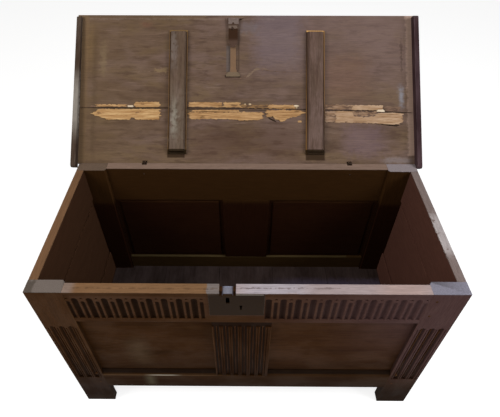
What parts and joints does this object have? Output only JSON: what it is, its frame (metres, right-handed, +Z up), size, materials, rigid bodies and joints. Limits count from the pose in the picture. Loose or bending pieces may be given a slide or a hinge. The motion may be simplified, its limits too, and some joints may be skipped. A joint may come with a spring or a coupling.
{
  "type": "coffer chest",
  "caption": "Joined oak coffer on stile feet: panelled walls, carved front rail, fluted stiles, and a board lid on loop hinges with a hasp and lock.",
  "frame": {"origin": "on the floor, under the middle of the whole chest with its lid open", "axes": "+X to the right seen from the front, +Y to the back, +Z up"},
  "size_m": [1.2634, 0.9598, 1.1462],
  "materials": {
    "oak": "old waxed oak, dark brown, satin",
    "worn_oak": "rubbed oak, grey-brown, shiny where worn",
    "dark_oak": "dark stained oak, satin",
    "dry_oak": "bare dry oak, matt",
    "iron": "wrought iron, dark, lightly rusted"
  },
  "bodies": {
    "chest": {"front_left_stile": "oak", "front_right_stile": "oak", "back_left_stile": "oak", "back_right_stile": "oak", "front_top_rail": "oak", "front_bottom_rail": "oak", "front_muntin": "oak", "front_left_panel": "oak", "front_right_panel": "oak", "lock_plate": "iron", "lock_case": "iron", "lock_spring": "iron", "key_pin": "iron", "back_top_rail": "oak", "back_bottom_rail": "oak", "back_muntin": "oak", "back_left_panel": "oak", "back_right_panel": "oak", "left_top_rail": "oak", "left_bottom_rail": "oak", "left_panel": "oak", "right_top_rail": "oak", "right_bottom_rail": "oak", "right_panel": "oak", "floor_board_1": "dry_oak", "floor_board_2": "dry_oak", "floor_board_3": "dry_oak", "floor_board_4": "dry_oak", "floor_board_5": "dry_oak", "left_fixed_loop": "iron", "right_fixed_loop": "iron"},
    "lid": {"lid_front_board": "oak", "lid_back_board": "oak", "left_cleat": "worn_oak", "right_cleat": "dark_oak", "left_batten": "worn_oak", "right_batten": "oak", "hasp_strap": "iron", "hasp_pin": "iron", "left_moving_loop": "iron", "right_moving_loop": "iron"},
    "hasp": {"hasp": "iron", "hasp_staple": "iron"},
    "bolt": {"lock_bolt": "iron"}
  },
  "joints": [
    {"name": "lid_hinge", "type": "hinge", "parent": "chest", "child": "lid", "pos_m": [0.00325, 0.06108, 0.752], "axis": [1, 0, 0], "range_deg": [0, 136.2]},
    {"name": "hasp_hinge", "type": "hinge", "parent": "lid", "child": "hasp", "pos_m": [-0.04975, 0.44875, 1.12792], "axis": [-1, 0, 0], "range_deg": [0, 160]},
    {"name": "bolt_slide", "type": "slide", "parent": "chest", "child": "bolt", "axis": [-1, 0, 0], "range_m": [0, 0.012]}
  ]
}
